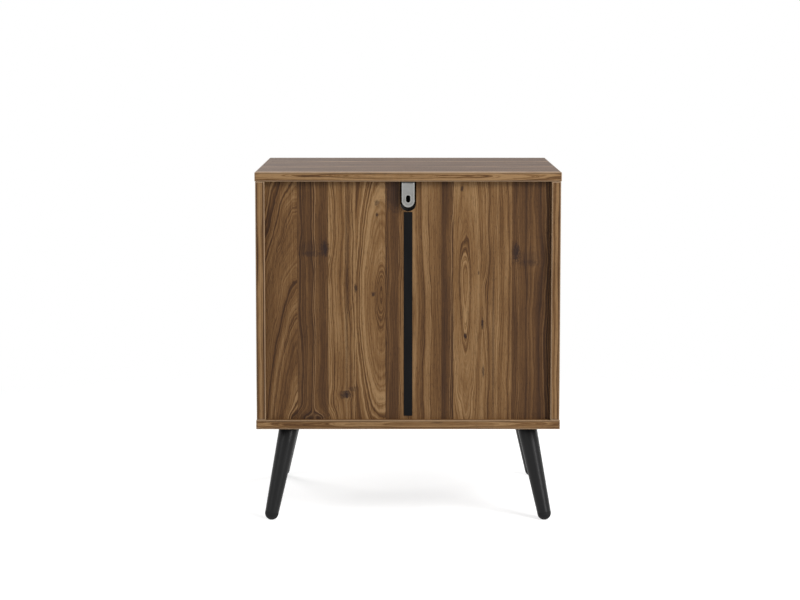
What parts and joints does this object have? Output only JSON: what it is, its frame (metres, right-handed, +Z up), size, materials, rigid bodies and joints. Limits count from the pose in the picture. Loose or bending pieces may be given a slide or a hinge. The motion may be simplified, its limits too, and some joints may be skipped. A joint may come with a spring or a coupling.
{
  "type": "nightstand",
  "caption": "Bedside cabinet in walnut-faced board with drawers on roller runners, splayed tapered legs, a recessed back with a joining strip and a slotted wall bracket.",
  "frame": {"origin": "on the floor, under the middle of the whole piece with its handles", "axes": "+Z up, drawers facing -Y, the back and its wall bracket facing +Y, +X to the right seen from the front"},
  "size_m": [0.5, 0.4784, 0.58],
  "materials": {
    "walnut_board": "satin laminate with walnut grain",
    "walnut_back": "matt laminate with walnut grain in vertical leaves",
    "drawer_board": "dark grey linen-textured foil",
    "satin_black": "satin black lacquer",
    "black_strip": "matt",
    "black_metal": "fine matt powder coat",
    "zinc_steel": "zinc plated",
    "enamelled_steel": "white epoxy coat",
    "nylon": "smooth",
    "foot_rubber": "matt"
  },
  "bodies": {
    "root": {"top_panel": "walnut_board", "bottom_panel": "walnut_board", "left_side_panel": "walnut_board", "right_side_panel": "walnut_board", "back_panel_left": "walnut_back", "back_panel_right": "walnut_back", "back_joining_strip": "black_strip", "wall_bracket": "zinc_steel", "bracket_screw_front": "zinc_steel", "bracket_screw_rear": "zinc_steel", "leg_front_left": "satin_black", "leg_front_right": "satin_black", "leg_rear_left": "satin_black", "leg_rear_right": "satin_black", "foot_cap_front_left": "foot_rubber", "foot_cap_front_right": "foot_rubber", "foot_cap_rear_left": "foot_rubber", "foot_cap_rear_right": "foot_rubber", "hanger_bolt_front_left": "zinc_steel", "hanger_bolt_front_right": "zinc_steel", "hanger_bolt_rear_left": "zinc_steel", "hanger_bolt_rear_right": "zinc_steel", "leg_plate_front_left": "black_metal", "leg_plate_front_right": "black_metal", "leg_plate_rear_left": "black_metal", "leg_plate_rear_right": "black_metal", "lower_left_cabinet_runner": "enamelled_steel", "lower_right_cabinet_runner": "enamelled_steel", "upper_left_cabinet_runner": "enamelled_steel", "upper_right_cabinet_runner": "enamelled_steel"},
    "lower_drawer": {"lower_drawer_front": "walnut_board", "lower_drawer_left_side": "drawer_board", "lower_drawer_right_side": "drawer_board", "lower_drawer_back": "drawer_board", "lower_drawer_bottom": "drawer_board", "lower_handle": "black_metal", "lower_handle_screw_left": "zinc_steel", "lower_handle_screw_right": "zinc_steel", "lower_left_drawer_runner": "enamelled_steel", "lower_right_drawer_runner": "enamelled_steel"},
    "upper_drawer": {"upper_drawer_front": "walnut_board", "upper_drawer_left_side": "drawer_board", "upper_drawer_right_side": "drawer_board", "upper_drawer_back": "drawer_board", "upper_drawer_bottom": "drawer_board", "upper_handle": "black_metal", "upper_handle_screw_left": "zinc_steel", "upper_handle_screw_right": "zinc_steel", "upper_left_drawer_runner": "enamelled_steel", "upper_right_drawer_runner": "enamelled_steel"},
    "lower_left_front_wheel": {"lower_left_cabinet_roller": "nylon"},
    "lower_right_front_wheel": {"lower_right_cabinet_roller": "nylon"},
    "upper_left_front_wheel": {"upper_left_cabinet_roller": "nylon"},
    "upper_right_front_wheel": {"upper_right_cabinet_roller": "nylon"},
    "lower_left_rear_wheel": {"lower_left_drawer_roller": "nylon"},
    "lower_right_rear_wheel": {"lower_right_drawer_roller": "nylon"},
    "upper_left_rear_wheel": {"upper_left_drawer_roller": "nylon"},
    "upper_right_rear_wheel": {"upper_right_drawer_roller": "nylon"}
  },
  "joints": [
    {"name": "lower_drawer_slide", "type": "slide", "parent": "root", "child": "lower_drawer", "axis": [0, -1, 0], "range_m": [0, 0.29]},
    {"name": "upper_drawer_slide", "type": "slide", "parent": "root", "child": "upper_drawer", "axis": [0, -1, 0], "range_m": [0, 0.29]},
    {"name": "lower_left_front_wheel_turn", "type": "hinge", "parent": "root", "child": "lower_left_front_wheel", "pos_m": [-0.2292, -0.18285, 0.198], "axis": [1, 0, 0], "continuous": true},
    {"name": "lower_right_front_wheel_turn", "type": "hinge", "parent": "root", "child": "lower_right_front_wheel", "pos_m": [0.2292, -0.18285, 0.198], "axis": [1, 0, 0], "continuous": true},
    {"name": "upper_left_front_wheel_turn", "type": "hinge", "parent": "root", "child": "upper_left_front_wheel", "pos_m": [-0.2292, -0.18285, 0.393], "axis": [1, 0, 0], "continuous": true},
    {"name": "upper_right_front_wheel_turn", "type": "hinge", "parent": "root", "child": "upper_right_front_wheel", "pos_m": [0.2292, -0.18285, 0.393], "axis": [1, 0, 0], "continuous": true},
    {"name": "lower_left_rear_wheel_turn", "type": "hinge", "parent": "lower_drawer", "child": "lower_left_rear_wheel", "pos_m": [-0.2263, 0.19695, 0.196], "axis": [1, 0, 0], "continuous": true},
    {"name": "lower_right_rear_wheel_turn", "type": "hinge", "parent": "lower_drawer", "child": "lower_right_rear_wheel", "pos_m": [0.2263, 0.19695, 0.196], "axis": [1, 0, 0], "continuous": true},
    {"name": "upper_left_rear_wheel_turn", "type": "hinge", "parent": "upper_drawer", "child": "upper_left_rear_wheel", "pos_m": [-0.2263, 0.19695, 0.391], "axis": [1, 0, 0], "continuous": true},
    {"name": "upper_right_rear_wheel_turn", "type": "hinge", "parent": "upper_drawer", "child": "upper_right_rear_wheel", "pos_m": [0.2263, 0.19695, 0.391], "axis": [1, 0, 0], "continuous": true}
  ],
  "couplings": [
    {"joint": "lower_left_front_wheel_turn", "follows": "lower_drawer_slide", "rad_per_m": 117.65},
    {"joint": "lower_right_front_wheel_turn", "follows": "lower_drawer_slide", "rad_per_m": 117.65},
    {"joint": "lower_left_rear_wheel_turn", "follows": "lower_drawer_slide", "rad_per_m": 117.65},
    {"joint": "lower_right_rear_wheel_turn", "follows": "lower_drawer_slide", "rad_per_m": 117.65},
    {"joint": "upper_left_front_wheel_turn", "follows": "upper_drawer_slide", "rad_per_m": 117.65},
    {"joint": "upper_right_front_wheel_turn", "follows": "upper_drawer_slide", "rad_per_m": 117.65},
    {"joint": "upper_left_rear_wheel_turn", "follows": "upper_drawer_slide", "rad_per_m": 117.65},
    {"joint": "upper_right_rear_wheel_turn", "follows": "upper_drawer_slide", "rad_per_m": 117.65}
  ]
}
